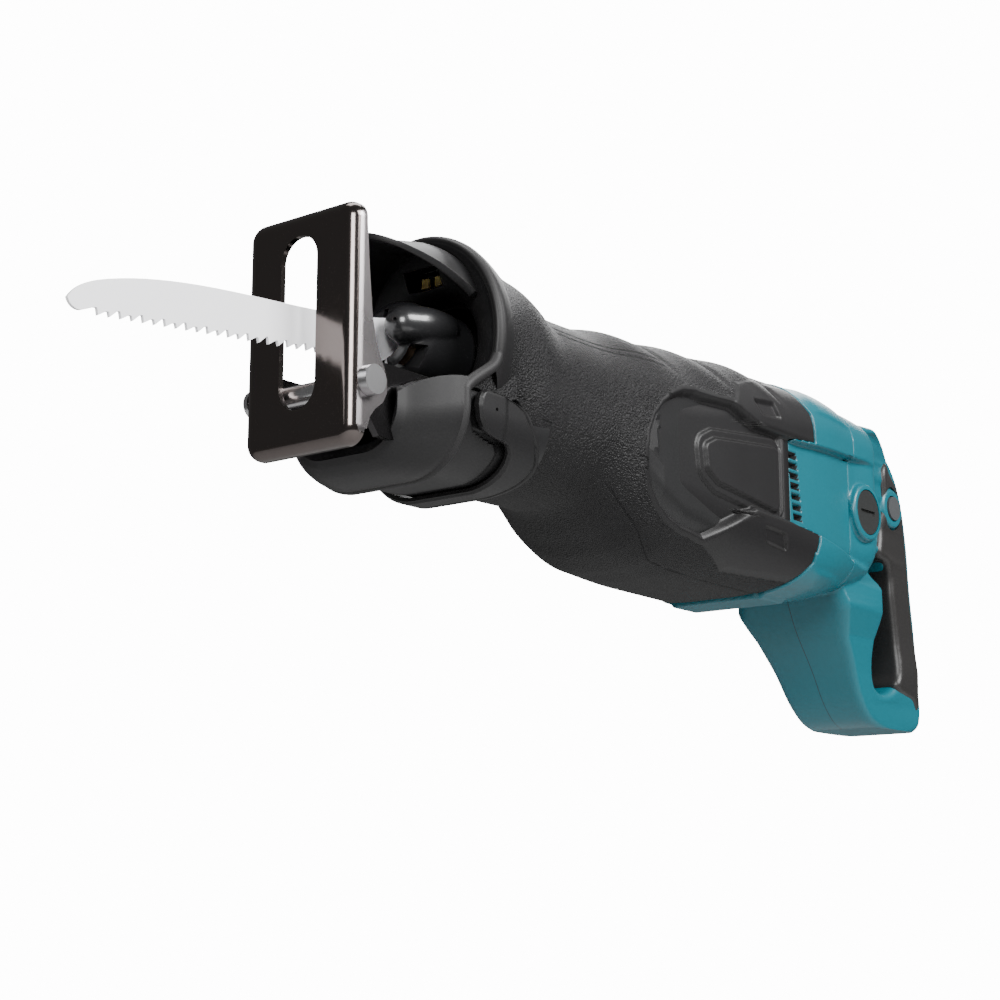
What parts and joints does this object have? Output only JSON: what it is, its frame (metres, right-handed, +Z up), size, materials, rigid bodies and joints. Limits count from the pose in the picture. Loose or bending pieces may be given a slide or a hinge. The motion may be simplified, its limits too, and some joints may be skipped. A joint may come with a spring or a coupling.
{
  "type": "reciprocating saw",
  "caption": "Corded reciprocating saw with D handle, pivoting slotted shoe, tool-free blade clamp, wobble drive, rubber-clad gearcase and a wood blade fitted.",
  "frame": {"origin": "where the stroke axis crosses the shoe's working face", "axes": "+X back along the stroke from the shoe to the handle, +Z up, +Y to the right-hand side of the tool seen from behind"},
  "size_m": [0.5638, 0.097, 0.1764],
  "materials": {
    "rubber_black": "leather grain, satin",
    "grip_rubber": "smooth satin",
    "teal_plastic": "fine satin texture",
    "black_plastic": "satin",
    "grey_plastic": "satin",
    "shoe_metal": "dark nickel",
    "black_metal": "gloss",
    "blade_steel": "ground",
    "steel": "machined",
    "spring_steel": "oiled",
    "bearing_steel": "polished",
    "cast_aluminium": "as cast",
    "iron": "laminated",
    "bronze": "sintered",
    "copper": "wound wire",
    "carbon": "graphite",
    "clear": "clear",
    "led_yellow": "gloss"
  },
  "bodies": {
    "housing": {"rod_seal": "rubber_black", "front_bush": "bronze", "rear_bush": "bronze", "lever_pins": "steel", "rubber_boot": "rubber_black", "light_lens": "clear", "light_board": "black_plastic", "light_leds": "led_yellow", "gear_housing": "cast_aluminium", "gear_cover": "cast_aluminium", "wobble_front_bearing": "bearing_steel", "wobble_rear_bearing": "bearing_steel", "armature_front_bearing": "bearing_steel", "armature_rear_bearing": "bearing_steel", "stator": "iron", "field_coils": "copper", "air_baffle": "black_plastic", "motor_housing": "teal_plastic", "handle_left": "teal_plastic", "handle_right": "teal_plastic", "grip_pad_left": "grip_rubber", "grip_pad_right": "grip_rubber", "brush_holder_left": "bronze", "brush_holder_right": "bronze", "carbon_brush_left": "carbon", "carbon_brush_right": "carbon", "brush_spring_left": "spring_steel", "brush_spring_right": "spring_steel", "brush_cap_left": "grey_plastic", "brush_cap_right": "grey_plastic", "trigger_spring": "spring_steel", "trigger_switch": "black_plastic", "lock_spring": "spring_steel", "cord_gland": "rubber_black", "handle_screws": "steel", "cover_screws": "steel"},
    "shoe_carrier": {"shoe_support": "black_metal", "shoe_pin": "steel"},
    "shoe_plate": {"shoe": "shoe_metal"},
    "lever": {"shoe_lever": "black_plastic"},
    "slider": {"slider_rod": "steel", "clamp_pin": "steel", "clamp_spring": "spring_steel", "blade": "blade_steel"},
    "sleeve": {"clamp_sleeve": "black_metal"},
    "ring": {"wobble_ring": "steel"},
    "wobble": {"wobble_shaft": "steel", "wobble_hub": "steel", "wobble_gear": "steel"},
    "armature": {"armature_shaft": "steel", "armature_core": "iron", "armature_windings": "copper", "commutator": "copper", "motor_fan": "black_plastic"},
    "trigger_body": {"trigger": "black_plastic"},
    "lock_body": {"lock_button": "grey_plastic"}
  },
  "joints": [
    {"name": "shoe_slide", "type": "slide", "parent": "housing", "child": "shoe_carrier", "axis": [-1, 0, 0], "range_m": [0, 0.024]},
    {"name": "shoe_tilt", "type": "hinge", "parent": "shoe_carrier", "child": "shoe_plate", "pos_m": [0.008, 0, -0.031], "axis": [0, 1, 0], "range_deg": [-18, 12]},
    {"name": "lever_swing", "type": "hinge", "parent": "housing", "child": "lever", "pos_m": [0.07, 0, -0.03], "axis": [0, 1, 0], "range_deg": [0, 35]},
    {"name": "slider_stroke", "type": "slide", "parent": "housing", "child": "slider", "axis": [1, 0, 0], "range_m": [-0.015, 0.015]},
    {"name": "sleeve_turn", "type": "hinge", "parent": "slider", "child": "sleeve", "pos_m": [0.0715, 0, 0], "axis": [1, 0, 0], "range_deg": [0, 45], "stiffness_Nm_per_rad": 0.3},
    {"name": "ring_rock", "type": "hinge", "parent": "housing", "child": "ring", "pos_m": [0.188, 0, -0.045], "axis": [0, 1, 0], "range_deg": [-19.3, 19.3]},
    {"name": "armature_spin", "type": "hinge", "parent": "housing", "child": "armature", "pos_m": [0.3, 0, -0.025], "axis": [1, 0, 0], "continuous": true},
    {"name": "wobble_spin", "type": "hinge", "parent": "housing", "child": "wobble", "pos_m": [0.188, 0, -0.045], "axis": [1, 0, 0], "continuous": true},
    {"name": "trigger_pull", "type": "slide", "parent": "housing", "child": "trigger_body", "axis": [1, 0, 0], "range_m": [0, 0.006], "stiffness_N_per_m": 800, "deforming": ["trigger_spring"]},
    {"name": "lock_press", "type": "slide", "parent": "housing", "child": "lock_body", "axis": [0, 1, 0], "range_m": [0, 0.003], "stiffness_N_per_m": 500, "deforming": ["lock_spring"]}
  ],
  "couplings": [
    {"joint": "ring_rock", "follows": "slider_stroke", "rad_per_m": 22.222},
    {"joint": "wobble_spin", "follows": "armature_spin", "ratio": -0.25}
  ]
}
